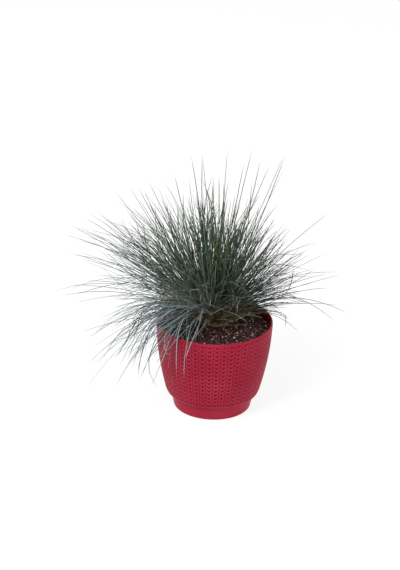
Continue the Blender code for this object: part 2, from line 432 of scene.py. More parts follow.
def pot_outline():
    """The pot's outline from the middle of its underside to the middle of its inside floor."""
    foot = [(0.0, 0.0), (FOOT_RADIUS * 0.5, 0.0)]
    foot += rounded((FOOT_RADIUS - FOOT_EDGE, 0.0), (FOOT_RADIUS, 0.0), (FOOT_RADIUS, FOOT_EDGE), 5)
    flare = FOOT_TOP_RADIUS - FOOT_RADIUS
    foot += [(FOOT_RADIUS + flare * share, FOOT_TOP * share) for share in (0.5, 0.8)]
    throat = (FOOT_TOP_RADIUS, FOOT_TOP)
    lowest = (belly_radius(KNIT_BOTTOM) - KNIT_DEPTH, KNIT_BOTTOM)
    out, under = (Vector(throat).lerp(Vector(lowest), share) for share in THROAT_SHARES)
    foot += rounded([at - less for at, less in zip(throat, THROAT_FILLET)], throat, out)
    foot += rounded(under, [at - less for at, less in zip(lowest, KNIT_FILLET)], lowest)[:-1]

    rows = round((KNIT_TOP - KNIT_BOTTOM) / STITCH_PITCH * SAMPLES_PER_STITCH)
    heights = [KNIT_BOTTOM + (KNIT_TOP - KNIT_BOTTOM) * row / rows for row in range(rows + 1)]
    knit = [(belly_radius(height) - KNIT_DEPTH, height) for height in heights]

    band = RIM_RADIUS - BAND_INSET * KNIT_DEPTH
    low, middle, high = (KNIT_TOP + rise for rise in BAND_RISES)
    rim = rounded((band - BAND_STEP, low), (band, middle), (band, high))
    inner = RIM_RADIUS - KNIT_DEPTH - WALL
    shoulder = POT_HEIGHT - RIM_ROUND
    rim += rounded((band, shoulder), (band, POT_HEIGHT), (band - RIM_ROUND, POT_HEIGHT), 4)
    rim += rounded((inner + RIM_ROUND, POT_HEIGHT), (inner, POT_HEIGHT), (inner, shoulder), 4)

    inside = [(wall_inside(height), height) for height in WALL_HEIGHTS]
    inside += [(wall_inside(KNIT_BOTTOM), KNIT_BOTTOM + WALL)]
    inside += [(FOOT_TOP_RADIUS - WALL, FOOT_TOP + WALL)]
    inside += [(FOOT_RADIUS - WALL, POT_FLOOR + FLOOR_CORNER)]
    inside += [(FOOT_RADIUS - WALL - FLOOR_CORNER, POT_FLOOR), (0.0, POT_FLOOR)]
    marks = [0.0] * len(foot) + [1.0] * len(knit) + [0.0] * (len(rim) + len(inside))
    return outline_mesh("pot_outline", foot + knit + rim + inside, marks)


plastic, wiring, shader = finish_of("crimson plastic", specular_ior_level=0.04)
place = wiring.node("ShaderNodeTexCoord", None, None, "Object")
cloud = wiring.noise(place, CLOUD_SCALE, 3.0)
grain = wiring.noise(place, GRAIN_SCALE, 2.0, 0.6)
# Painted shade: the knit's pits, grooves and seams are darker where its relief is low.
body = wiring.blend(wiring.attribute("relief").ramped(*PIT_SHADING), CRIMSON_PIT_SHADE, CRIMSON)
# Painted highlight on each stitch's lower lip and arms, and faintly on the smooth rim, foot and
# inside, patchy with the cloud noise.
body = wiring.blend(wiring.attribute("edge") * (MOST_HIGHLIGHT * cloud), body, CRIMSON_HIGHLIGHT)
wiring.surfaced(shader, body, 0.28 + 0.10 * cloud + 0.06 * grain, grain, 0.12, GRAIN_HEIGHT)

growth = Growth("knitted pot")
columns = growth.size("Columns", KNIT_COLUMNS, "Int")
samples = growth.size("Samples", SAMPLES_PER_COLUMN, "Int")
pitch = growth.size("Stitch Pitch", STITCH_PITCH)
rise = growth.size("Stitch Rise", STITCH_RISE)
depth = growth.size("Relief Depth", KNIT_DEPTH)
grid, step, radius, height, mark = turned(growth, columns * samples)
across = ((step / samples).maths("FRACT") * 2.0 - 1.0).maths("ABSOLUTE")
stitch = (height - KNIT_BOTTOM) / pitch
curved = KNIT_BOTTOM, KNIT_BOTTOM + STRAIGHT_END, KNIT_TOP - STRAIGHT_END, KNIT_TOP
height = height + mark * height.banded(*curved) * rise * pitch * across**STITCH_CURVE
drop = KNIT_TOP - height
belly = RIM_RADIUS - BELLY_SLOPE * drop - drop * drop * (0.5 / BELLY_ARC) - KNIT_DEPTH
along = (stitch.maths("FRACT") - 0.5) * 2.0
pit = along.banded(*PIT_ALONG) * (1.0 - across.ramped(*PIT_ACROSS))
groove = along.banded(*GROOVE_ALONG) * GROOVE_DEPTH
seam = across.ramped(*SEAM_ACROSS) * SEAM_DEPTH
lobe = 1.0 - pit.maths("MAXIMUM", groove).maths("MAXIMUM", seam)
ends = stitch.ramped(0.0, FIRST_STITCH) * (1.0 - height.ramped(KNIT_TOP - LAST_STITCH, KNIT_TOP))
faded = height.ramped(*(KNIT_TOP - below for below in FADED_TOP))
lobe = lobe + (1.0 - lobe) * faded * FADED_SHARE
radius = radius + mark * (belly - radius) + depth * lobe * mark * ends
turn = step * math.tau / (columns * samples)
# The relief kept here also sets the painted shade in the knit's hollows.
grid = growth.stored(grid, "relief", lobe * mark + 1.0 - mark)
# The attribute edge says where the painted highlight goes: on each stitch's lower lip, on its arms,
# and faintly on every smooth part.
edge = along.banded(*EDGE_ALONG) * (1.0 - across.ramped(*EDGE_ACROSS))
edge = edge.maths("MAXIMUM", across.banded(*ARM_ACROSS) * ARM_SHARE)
grid = growth.stored(grid, "edge", edge * mark + (1.0 - mark) * SMOOTH_HIGHLIGHT)
growth.ended(closed_turn(growth, grid, turn, radius, height), plastic)

pot = growth.grown("knitted_pot", pot_outline())
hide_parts("pot")
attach(pot, "root")


# -------------------------------------------------------------------------------------------------
# Potting soil. Dark peat fills the pot to a finger's width under its rim, loose and lumpy on top,
# with white perlite grains, chips of bark and dry bits of old leaves lying in it.

SOIL_EDGE = 0.1105
SOIL_SEAT = 0.1120
SOIL_GAP = 0.0003
SOIL_RINGS = 54
SOIL_SECTORS = 216
SOIL_LUMP = 0.0021
LUMP_SCALE = 150.0
SOIL_CRUMBLE = 0.0012
CRUMBLE_SCALE = 620.0
SOIL_SETTLED = 0.0018
SETTLED_RING = (0.064, 0.071)
HEAP_REACH = 0.075
HEAP_SOFTNESS = 0.012
CROWN_PLACE = Vector((-0.003, 0.022, 0.0))
CROWN_REACH = 0.024
STEEPEST_SPOT = 0.4
LYING_TILT = 0.55
ANY_TILT = 3.1
CRUMB_JOLT = 0.8
CRUMB_JOLT_SCALE = 900.0
SIZE_POWER = 2.2
BREADTHS = (0.75, 1.3)
THICKNESSES = (0.8, 1.25)
MIDDLE_GREY = Vector((0.5, 0.5, 0.5))
PEAT_DARK = (0.0040, 0.0024, 0.0024, 1)
PEAT_BROWN = (0.200, 0.085, 0.074, 1)
PEAT_PATCH_SCALE = 160.0
BED_GRIT_SCALE = 900.0
CRUMB_GRIT_SCALE = 1300.0
GRIT_HEIGHT = 0.0006
BARK_DARK = (0.050, 0.022, 0.014, 1)
BARK_TAN = (0.720, 0.480, 0.420, 1)
PERLITE_WHITE = (0.78, 0.76, 0.74, 1)
PERLITE_STAIN = (0.36, 0.28, 0.24, 1)
DRY_BROWN = (0.180, 0.110, 0.055, 1)
DRY_PALE = (0.480, 0.380, 0.260, 1)
CHIP_GRAIN_SCALE = 1500.0
CHIP_GRAIN_HEIGHT = 0.0003
SCATTERS = (
    # name, form, how many to a square metre, shortest and longest, breadth and thickness for a
    # length of 1, seed
    ("peat_crumbs", "crumb", 150000.0, (0.0010, 0.0046), (0.9, 0.70), 3),
    ("bark_chips", "chip", 42000.0, (0.0016, 0.0066), (0.30, 0.20), 5),
    ("perlite_grains", "grain", 9000.0, (0.0008, 0.0026), (0.8, 0.70), 8),
    ("dry_leaf_bits", "bit", 3000.0, (0.0040, 0.0120), (0.05, 0.04), 11),
)


def soil_outline():
    """The soil's outline from the middle of its underside to the middle of its top."""
    wall = [(0.0, POT_FLOOR), (FOOT_RADIUS - WALL - FLOOR_CORNER, POT_FLOOR)]
    wall += [(FOOT_RADIUS - WALL, POT_FLOOR + FLOOR_CORNER)]
    wall += [(FOOT_TOP_RADIUS - WALL, FOOT_TOP + WALL)]
    wall += [(wall_inside(KNIT_BOTTOM), KNIT_BOTTOM + WALL)]
    heights = (*reversed(WALL_HEIGHTS[1:]), SOIL_EDGE)
    wall += [(wall_inside(height), height) for height in heights]
    lowest = POT_FLOOR + SOIL_GAP
    side = [(max(0.0, radius - SOIL_GAP), max(height, lowest)) for radius, height in wall]
    edge = side[-1][0]
    top = [(edge * (1 - ring / SOIL_RINGS), SOIL_EDGE) for ring in range(SOIL_RINGS + 1)]
    return outline_mesh("soil_outline", side + top[1:], [0.0] * len(side) + [1.0] * SOIL_RINGS)


def peat_finish(name, grit_scale):
    peat, wiring, shader = finish_of(name, specular_ior_level=0.2)
    place = wiring.node("ShaderNodeTexCoord", None, None, "Object")
    broad = wiring.noise(place, PEAT_PATCH_SCALE, 4.0, 0.6)
    fine = wiring.noise(place, grit_scale, 4.0, 0.7)
    brown = (broad * 0.8 + fine * 2.0 - 1.25 + wiring.attribute("shade") ** 3.0 * 0.8).clamped()
    colour = wiring.blend(brown, PEAT_DARK, PEAT_BROWN)
    wiring.surfaced(shader, colour, 0.80 + 0.20 * fine, fine, 0.8, GRIT_HEIGHT)
    return peat


growth = Growth("soil bed")
lump = growth.size("Lump", SOIL_LUMP)
crumble = growth.size("Crumble", SOIL_CRUMBLE)
finish = growth.size("Finish", None, "Material")
grid, step, radius, height, mark = turned(growth, SOIL_SECTORS)
turn = step * math.tau / SOIL_SECTORS
x, y = radius * turn.maths("SINE"), radius * turn.maths("COSINE") * -1.0
spot = growth.node("ShaderNodeCombineXYZ", None, {"X": x, "Y": y})
from_crown = (spot - CROWN_PLACE).maths("LENGTH")
heap = (SOIL_SEAT - SOIL_EDGE) * (1.0 - from_crown.ramped(CROWN_REACH, HEAP_REACH))
lumps = (growth.noise(spot, LUMP_SCALE, 2.0) - 0.5) * 2.0 * lump
bumps = lumps + (growth.noise(spot, CRUMBLE_SCALE, 3.0) - 0.5) * 2.0 * crumble
settled = radius.ramped(*SETTLED_RING) * SOIL_SETTLED
open_soil = from_crown.ramped(CROWN_REACH, CROWN_REACH + HEAP_SOFTNESS)
height = height + mark * (heap + bumps * open_soil - settled)
growth.ended(closed_turn(growth, grid, turn, radius, height), finish)
bed = growth.grown("soil_bed", soil_outline(), finish=peat_finish("peat", BED_GRIT_SCALE))
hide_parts("potting_soil")
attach(bed, "root")


def chips_finish(name, dark, pale):
    """A finish in which each small piece has a shade of its own, from its attribute shade."""
    chips, wiring, shader = finish_of(name, specular_ior_level=0.25)
    place = wiring.node("ShaderNodeTexCoord", None, None, "Object")
    fine = wiring.noise(place, CHIP_GRAIN_SCALE, 3.0, 0.6)
    paleness = (wiring.attribute("shade") * 0.8 + fine * 0.6 - 0.2).clamped()
    colour = wiring.blend(paleness, dark, pale)
    wiring.surfaced(shader, colour, 0.70 + 0.25 * fine, fine, 0.6, CHIP_GRAIN_HEIGHT)
    return chips


def model_of(growth, form):
    """One small piece of a length of 1: a bent strip, or a lump that is knocked out of round."""
    if form == "bit":
        spine = {"Start": Vector((-0.5, 0.0, 0.0)), "Middle": Vector((0.0, 2.5, 1.5))}
        spine.update({"End": Vector((0.5, 0.0, 0.0)), "Resolution": 5})
        spine = growth.node("GeometryNodeCurveQuadraticBezier", None, spine)
        ring = {"Resolution": 4, "Radius": 0.5}
        ring = growth.node("GeometryNodeCurvePrimitiveCircle", {"mode": "RADIUS"}, ring)
        inputs = {"Curve": spine, "Profile Curve": ring, "Fill Caps": True}
        return growth.node("GeometryNodeCurveToMesh", None, inputs)
    inputs = {"Radius": 0.5, "Subdivisions": 2 if form == "grain" else 1}
    return growth.node("GeometryNodeMeshIcoSphere", None, inputs)


def scatter_growth(form):
    """A tree that strews one kind of small piece over the top of the soil bed."""
    growth = Growth("strewn " + form)
    density = growth.size("Density", 1000.0)
    smallest = growth.size("Smallest", 0.001)
    largest = growth.size("Largest", 0.003)
    middling = growth.size("Middling", 1.0)
    thin = growth.size("Thin", 1.0)
    seed = growth.size("Seed", 1, "Int")
    finish = growth.size("Finish", None, "Material")
    place = growth.node("GeometryNodeInputPosition")
    x, y, _ = growth.parts(place)
    up = growth.parts(growth.node("GeometryNodeInputNormal"))[2]
    from_crown = ((x - CROWN_PLACE.x) ** 2.0 + (y - CROWN_PLACE.y) ** 2.0).maths("SQRT")
    inside = (x * x + y * y).maths("SQRT") < wall_inside(SOIL_EDGE) - largest * 0.5
    open_soil = (up > STEEPEST_SPOT) * (from_crown > CROWN_REACH) * inside
    inputs = {"Mesh": growth.given, "Selection": open_soil, "Density": density, "Seed": seed}
    strewing = {"distribute_method": "RANDOM"}
    spots = growth.node("GeometryNodeDistributePointsOnFaces", strewing, inputs, "Points")
    size = smallest + (largest - smallest) * growth.chance(0.0, 1.0, seed + 1.0) ** SIZE_POWER
    wide = size * middling * growth.chance(*BREADTHS, seed + 2.0)
    flat = size * thin * growth.chance(*THICKNESSES, seed + 3.0)
    scale = growth.node("ShaderNodeCombineXYZ", None, {"X": size, "Y": wide, "Z": flat})
    most = Vector((LYING_TILT, LYING_TILT, ANY_TILT))
    if form not in ("chip", "bit"):
        most = Vector((ANY_TILT, ANY_TILT, ANY_TILT))
    tilt = growth.chance(-most, most, seed + 4.0, "FLOAT_VECTOR")
    inputs = {"Points": spots, "Instance": model_of(growth, form), "Rotation": tilt, "Scale": scale}
    strewn = growth.node("GeometryNodeInstanceOnPoints", None, inputs)
    shade = growth.chance(0.0, 1.0, seed + 5.0)
    strewn = growth.stored(strewn, "shade", shade, domain="INSTANCE")
    strewn = growth.stored(strewn, "size", size, domain="INSTANCE")
    strewn = growth.node("GeometryNodeRealizeInstances", None, {"Geometry": strewn})
    if form != "bit":
        inputs = {"Vector": place, "Scale": CRUMB_JOLT_SCALE, "Detail": 1.0}
        jolt = growth.node("ShaderNodeTexNoise", None, inputs, "Color") - MIDDLE_GREY
        strewn = growth.moved(strewn, offset=jolt * growth.named("size") * CRUMB_JOLT)
    growth.ended(strewn, finish)
    return growth


strewn_finishes = {
    "peat_crumbs": peat_finish("peat crumbs", CRUMB_GRIT_SCALE),
    "bark_chips": chips_finish("bark", BARK_DARK, BARK_TAN),
    "perlite_grains": chips_finish("perlite", PERLITE_STAIN, PERLITE_WHITE),
    "dry_leaf_bits": chips_finish("dry leaves", DRY_BROWN, DRY_PALE),
}
for name, form, density, (small, large), (wide, thin), seed in SCATTERS:
    sizes = {"density": density, "smallest": small, "largest": large, "seed": seed}
    sizes.update(middling=wide, thin=thin, finish=strewn_finishes[name])
    piece = scatter_growth(form).grown(name, bed.data, **sizes)
    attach(piece, "root")


# -------------------------------------------------------------------------------------------------
# Crown. The woody heart of the clump stands a little out of the soil under a brush of old, broken
# leaf bases, tan where they are dead and yellow-green where a shoot still grows from one.

CROWN_RINGS = 14
CROWN_SECTORS = 60
CROWN_ROUGH = 0.0012
CROWN_ROUGH_SCALE = 420.0
CROWN_SHADE_SCALE = 260.0
CROWN_SKIRT = 0.003
STUBS_TO_A_METRE = 92000.0
STUB_LENGTH = (0.006, 0.021)
STUB_LENGTH_POWER = 1.6
STUB_WIDTH = 0.0022
STUB_WIDTHS = (0.6, 1.15)
STUB_FLATNESS = 0.7
STUB_LEAN = Vector((0.5, 0.5, 3.1))
LOWEST_STUB = 0.0015
STUB_FRAYING = 0.0035
STUB_FRAYING_SCALE = 330.0
CROWN_DARK = (0.050, 0.026, 0.012, 1)
CROWN_STRAW = (0.680, 0.480, 0.290, 1)
CROWN_SHOOT = (0.480, 0.560, 0.110, 1)
SHOOT_SHADES = (0.66, 0.74)
FIBRE_SCALE = 700.0
FIBRE_HEIGHT = 0.0005


def crown_outline():
    """The crown's outline from the middle of its underside to its top, a slice of a sphere."""
    low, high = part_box("crown")
    rise, half = high[2] - low[2], (high[0] - low[0]) / 2
    sphere = (half * half + rise * rise) / (2 * rise)
    edge = math.asin(half / sphere)
    points = [(0.0, low[2])]
    for ring in range(CROWN_RINGS + 1):
        turn = edge * (1 - ring / CROWN_RINGS)
        points.append((sphere * math.sin(turn), low[2] + rise - sphere * (1 - math.cos(turn))))
    return outline_mesh("crown_outline", points, [0.0, 0.0] + [1.0] * CROWN_RINGS)


crown_finish, wiring, shader = finish_of("old leaf bases", specular_ior_level=0.25)
place = wiring.node("ShaderNodeTexCoord", None, None, "Object")
shade = wiring.attribute("shade")
fine = wiring.noise(place, FIBRE_SCALE, 4.0, 0.65)
colour = wiring.blend((shade + fine * 0.8 - 0.4).clamped(), CROWN_DARK, CROWN_STRAW)
colour = wiring.blend(shade.ramped(*SHOOT_SHADES), colour, CROWN_SHOOT)
wiring.surfaced(shader, colour, 0.65 + 0.3 * fine, fine, 0.7, FIBRE_HEIGHT)

growth = Growth("crown of leaf bases")
stubs = growth.size("Stubs", STUBS_TO_A_METRE)
shortest = growth.size("Shortest", STUB_LENGTH[0])
longest = growth.size("Longest", STUB_LENGTH[1])
stub_width = growth.size("Stub Width", STUB_WIDTH)
seed = growth.size("Seed", 4, "Int")
grid, step, radius, height, _ = turned(growth, CROWN_SECTORS)
dome = closed_turn(growth, grid, step * math.tau / CROWN_SECTORS, radius, height)
dome = growth.moved(dome, offset=CROWN_PLACE)
place = growth.node("GeometryNodeInputPosition")
above = growth.parts(place)[2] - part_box("crown")[0][2]
roughness = (growth.noise(place, CROWN_ROUGH_SCALE, 3.0) - 0.5) * 2.0 * CROWN_ROUGH
bumps = growth.node("GeometryNodeInputNormal") * (roughness * above.ramped(0.0, CROWN_SKIRT))
dome = growth.moved(dome, offset=bumps)
dome = growth.stored(dome, "shade", growth.noise(place, CROWN_SHADE_SCALE, 2.0) * 0.5)
inputs = {"Mesh": dome, "Selection": above > LOWEST_STUB, "Density": stubs, "Seed": seed}
strewing = {"distribute_method": "RANDOM"}
spots = growth.node("GeometryNodeDistributePointsOnFaces", strewing, inputs)
upright = Wire(growth, spots.socket.node.outputs["Rotation"])
lean = growth.chance(-STUB_LEAN, STUB_LEAN, seed + 1.0, "FLOAT_VECTOR")
inputs = {"Rotation": upright, "Rotate By": lean}
lean = growth.node("FunctionNodeRotateRotation", {"rotation_space": "LOCAL"}, inputs)
cone = {"Vertices": 5, "Side Segments": 2, "Depth": 1.0, "Radius Top": 0.22, "Radius Bottom": 0.5}
stub = growth.node("GeometryNodeMeshCone", None, cone, "Mesh")
length = shortest + (longest - shortest) * growth.chance(0.0, 1.0, seed + 2.0) ** STUB_LENGTH_POWER
thick = stub_width * growth.chance(*STUB_WIDTHS, seed + 3.0)
scale = {"X": thick, "Y": thick * STUB_FLATNESS, "Z": length}
scale = growth.node("ShaderNodeCombineXYZ", None, scale)
inputs = {"Points": spots, "Instance": stub, "Rotation": lean, "Scale": scale}
brush = growth.node("GeometryNodeInstanceOnPoints", None, inputs)
shade = growth.chance(0.0, 1.0, seed + 5.0)
brush = growth.stored(brush, "shade", shade, domain="INSTANCE")
brush = growth.node("GeometryNodeRealizeInstances", None, {"Geometry": brush})
inputs = {"Vector": place, "Scale": STUB_FRAYING_SCALE, "Detail": 1.0}
frayed = growth.node("ShaderNodeTexNoise", None, inputs, "Color") - MIDDLE_GREY
brush = growth.moved(brush, offset=frayed * STUB_FRAYING)
joined = growth.node("GeometryNodeJoinGeometry", None, {"Geometry": dome})
growth.tree.links.new(brush.socket, joined.socket.node.inputs["Geometry"])
growth.ended(joined, crown_finish)
crown = growth.grown("crown_of_leaf_bases", crown_outline(), seed=4)
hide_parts("crown")
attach(crown, "root")


# -------------------------------------------------------------------------------------------------
# Leaf tufts. Each is a bunch of wiry leaves, folded lengthwise and about a millimetre across, which
# grow from one sheath on the crown. Wax turns the outer ones a silvery blue, and a few are dead.

LEAVES = 26
LEADERS = 6
LEAF_STATIONS = 14
LEAF_HALF_WIDTH = 0.00060
LEAF_WIDTHS = (0.8, 1.15)
LEAF_FOLD = ((-1.0, 0.25, 0.0), (0.0, -0.60, 0.0), (1.0, 0.25, 0.0), (0.0, 0.0, 0.0))
LEAF_TAPER = (3.0, 24.0)
SHEATH_HALF_WIDTH = 0.00040
SHEATH_LENGTH = 0.012
SHEATH_OPENING = (0.006, 0.024)
ROOT_SINK = 0.0006
GUIDE_POINTS = 14
GUIDE_MIDDLE = 0.46
TIP_EDGE = 0.015
HANGING_DROP = 0.05
HANGING_STRAIGHTNESS = 0.45
SHORTEST_REACH = {"heart_blades": 0.72, "middle_blades": 0.80, "outer_blades": 0.88}
FILLING_SHARE = {"heart_blades": 0.34, "middle_blades": 0.34, "outer_blades": 0.24}
FILLING_SHORTER = (0.25, 0.60)
FILLING_LOOSER = 1.2
DEAD_SHARE = 0.14
DEAD_SHORTER = 0.45
DEAD_LOOSER = 0.8
DEAD_BOW = 0.4
WAYWARD_SHARE = 0.14
WAYWARD_BOW = 1.2
BASE_STRAY = 0.0020
TIP_STRAY = 0.30
STRAY_GROWTH = 1.4
STRAY_BOX = Vector((1, 1, 0.45))
LEAF_BOW = 0.13
BOW_BOX = ((-1, -1, -0.25), (1, 1, 1))
LONGEST_STRAY = 1.05
TOUSLED_FRONT = {"heart_blades": 0.5, "middle_blades": 0.5, "outer_blades": 0.2}
SPARSE_RIGHT = 0.5
FULLNESS = {"heart_blades": 1.0, "middle_blades": 1.15, "outer_blades": 1.15}
FULLER_SIDES = (
    # direction in degrees, how narrow that side is, how much fuller its tufts are
    (10, 2, -0.25),
    (72, 12, -0.25),
    (155, 6, 0.20),
    (203, 12, -0.20),
    (270, 1, -0.15),
)
FULLEST_OUTER = (235, 3, 0.85)
SOIL_CLEARANCE = 0.1135
RIM_CLEARANCE = 0.0008
RIM_INSIDE = 0.066
RIM_OUTSIDE = 0.0768
RIM_SLOPES = (2.0, 1.8)
RIM_SOFTNESS = 0.007
HEART_TUFTS = 10
MIDDLE_TUFTS = 16
MOST_WAX = math.radians(222)
WAX_ON_SIDES = (0.20, 0.75)
SHEATH_PALE = (0.400, 0.440, 0.130, 1)
SHEATH_BROWN = (0.340, 0.170, 0.090, 1)
SHEATH_FADING = (0.010, 0.044)
DEAD_STRAW = (0.480, 0.325, 0.195, 1)
DEAD_BROWN = (0.190, 0.100, 0.055, 1)
WITHERED_TIP = (0.86, 1.0)
MOST_WITHERED = 0.6
# Times one of these, a leaf's own random tone gives it another random number.
AGE_SHUFFLE = 37.0
SHEATH_SHUFFLE = 53.0
AGE_POWER = 3.4
RIB_SCALE = 2600.0
RIB_HEIGHT = 0.0001
LEAF_COLOURS = {
    # slot: the green of an old leaf and of a young one, and the wax on both
    "heart_blades": (
        (0.002, 0.007, 0.004, 1), (0.130, 0.245, 0.095, 1), (0.150, 0.225, 0.170, 1)
    ),
    "middle_blades": (
        (0.002, 0.007, 0.005, 1), (0.112, 0.205, 0.092, 1), (0.190, 0.260, 0.235, 1)
    ),
    "outer_blades": (
        (0.005, 0.012, 0.008, 1), (0.085, 0.150, 0.092, 1), (0.310, 0.385, 0.415, 1)
    ),
}


def facet_axis(ring, outwards):
    """The direction in which a facet of the sheath's top faces."""
    first, second, third = (vert.co for vert in ring)
    axis = (second - first).cross(third - first).normalized()
    return axis if axis.dot(outwards) > 0 else -axis


def guide_lines(node):
    """The leading leaves of a tuft's solid as lines of points, from the crown to each tip."""
    solid = bmesh.new()
    solid.from_mesh(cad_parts[node].data)
    bmesh.ops.remove_doubles(solid, verts=solid.verts, dist=1e-6)
    solid.verts.index_update()
    tips = [vert for vert in solid.verts if len(vert.link_edges) == 3]
    tips = [tip for tip in tips if min(edge.calc_length() for edge in tip.link_edges) > TIP_EDGE]
    heart = (Vector(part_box("crown")[0]) + Vector(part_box("crown")[1])) / 2
    low, high = (1 - GUIDE_MIDDLE) ** 2, GUIDE_MIDDLE**2
    blades = []
    for tip in tips:
        rings = [[tip]]
        for _ in range(4):
            around = {edge.other_vert(vert) for vert in rings[-1] for edge in vert.link_edges}
            around = around.difference(*rings)
            rings.append(sorted(around, key=lambda vert: vert.index))
        middles = [sum((vert.co for vert in ring), Vector()) / len(ring) for ring in rings]
        end, middle, root = middles[0], middles[2], middles[4]
        crook = (middle - low * root - high * end) / (2 * GUIDE_MIDDLE * (1 - GUIDE_MIDDLE))
        hanging = min(max((root.z - end.z) / HANGING_DROP, 0.0), 1.0)
        crook.z += (root.lerp(end, 0.5).z - crook.z) * hanging * HANGING_STRAIGHTNESS
        blades.append((root, crook, end))
        axis = facet_axis(rings[4], root - heart)
    solid.free()
    middle = sum((root for root, crook, end in blades), Vector()) / len(blades)
    across = axis.orthogonal()

    def bearing(blade):
        aside = blade[0] - middle
        return math.atan2(aside.dot(across), aside.dot(axis.cross(across)))

    points, edges = [], []
    for root, crook, end in sorted(blades, key=bearing):
        line = [root - axis * SHEATH_LENGTH]
        for step in range(GUIDE_POINTS):
            share = step / (GUIDE_POINTS - 1)
            line.append(root.lerp(crook, share).lerp(crook.lerp(end, share), share))
        edges += [(len(points) + i, len(points) + i + 1) for i in range(len(line) - 1)]
        points += line
    mesh = bpy.data.meshes.new(node + "_guides")
    mesh.from_pydata(points, edges, [])
    return mesh, sum((end - root).length for root, crook, end in blades) / len(blades)


def leaf_finish(name, green, young, wax):
    leaf, wiring, shader = finish_of(name, specular_ior_level=0.35)
    names = ("tone", "dead", "along", "rise", "bloom")
    tone, dead, along, rise, bloom = map(wiring.attribute, names)
    strip = {"X": tone * 90.0, "Y": along * 5.0, "Z": dead}
    patch = wiring.noise(wiring.node("ShaderNodeCombineXYZ", None, strip), 1.0, 3.0, 0.6)
    colour = wiring.blend((tone * AGE_SHUFFLE).maths("FRACT") ** AGE_POWER, green, young)
    waxed = tone ** (2.6 - 1.5 * bloom) * 1.5 + (patch - 0.5) * 0.7
    waxed = waxed * (0.15 + 0.90 * bloom * (1.0 - 0.8 * along) + 0.42 * along)
    colour = wiring.blend((waxed * (0.20 + 1.25 * bloom)).clamped(), colour, wax)
    withered = (along.ramped(*WITHERED_TIP) * (patch * 1.6).clamped()).clamped()
    colour = wiring.blend(withered * MOST_WITHERED, colour, DEAD_STRAW)
    sheath = wiring.blend((tone * SHEATH_SHUFFLE).maths("FRACT"), SHEATH_BROWN, SHEATH_PALE)
    sheathed = (1.0 - rise.ramped(*SHEATH_FADING)) * (0.50 + 0.5 * patch)
    colour = wiring.blend(sheathed, colour, sheath)
    straw = wiring.blend(patch.ramped(0.25, 0.75), DEAD_BROWN, DEAD_STRAW)
    colour = wiring.blend(dead, colour, straw)
    place = wiring.node("ShaderNodeTexCoord", None, None, "Object")
    ribs = wiring.noise(place, RIB_SCALE, 2.0)
    wiring.surfaced(shader, colour, 0.42 + 0.22 * patch + 0.12 * dead, ribs, 0.25, RIB_HEIGHT)
    return leaf


growth = Growth("leaf tuft")
leaves = growth.size("Leaves", LEAVES, "Int")
seed = growth.size("Seed", 1, "Int")
half_width = growth.size("Half Width", LEAF_HALF_WIDTH)
length = growth.size("Length", 0.15)
shortest = growth.size("Shortest Reach", 0.75)
filling_share = growth.size("Filling Share", 0.3)
dead_share = growth.size("Dead Share", DEAD_SHARE)
bloom = growth.size("Bloom", 0.5)
tousle = growth.size("Tousle", 1.0)
finish = growth.size("Finish", None, "Material")

guides = growth.node("GeometryNodeMeshToCurve", None, {"Mesh": growth.given})
line = growth.node("GeometryNodeCurvePrimitiveLine", None, {"End": (0, 0, 1)})
inputs = {"Curve": line, "Count": LEAF_STATIONS}
line = growth.node("GeometryNodeResampleCurve", None, inputs)
inputs = {"Geometry": line, "Amount": leaves}
line = growth.node("GeometryNodeDuplicateElements", {"domain": "SPLINE"}, inputs)
leaf = Wire(growth, line.socket.node.outputs["Duplicate Index"])


def per_leaf(low, high, number, kind="FLOAT"):
    inputs = {"Min": low, "Max": high, "ID": leaf, "Seed": seed * 32.0 + float(number)}
    return growth.node("FunctionNodeRandomValue", {"data_type": kind}, inputs)


def on_guide(guide, share, output):
    inputs = {"Curves": guides, "Curve Index": guide, "Factor": share}
    return growth.node("GeometryNodeSampleCurve", {"mode": "FACTOR"}, inputs, output)


# The first leaves are the leaders, which follow their guides. Each other leaf grows between two of
# the guides, which aren't always neighbours. The filling ones are short, and hide the crown.
factor = growth.node("GeometryNodeSplineParameter", None, None, "Factor")
station = factor * (LEAF_STATIONS - 1.0)
along = (station - 1.0).maths("MAXIMUM", 0.0) / (LEAF_STATIONS - 2.0)
leading = leaf < LEADERS - 0.5
following = 1.0 - leading
first = leading * leaf + following * per_leaf(0.0, LEADERS - 0.001, 1).maths("FLOOR")
second = first + per_leaf(1.0, 2.999, 2).maths("FLOOR")
second = leading * leaf + following * second.maths("FLOORED_MODULO", float(LEADERS))
dead = following * (per_leaf(0.0, 1.0, 3) < dead_share)
reach = shortest + (1.0 - shortest) * per_leaf(0.0, 1.0, 4) ** 0.5
filling = per_leaf(0.0, 1.0, 11) < filling_share
shortened = 1.0 - filling * per_leaf(*FILLING_SHORTER, 12)
reach = leading + following * reach * (1.0 - dead * DEAD_SHORTER) * shortened
reached = along * reach
place, other = (on_guide(guide, reached, "Position") for guide in (first, second))
place = place + (other - place) * (following * per_leaf(0.0, 1.0, 5))

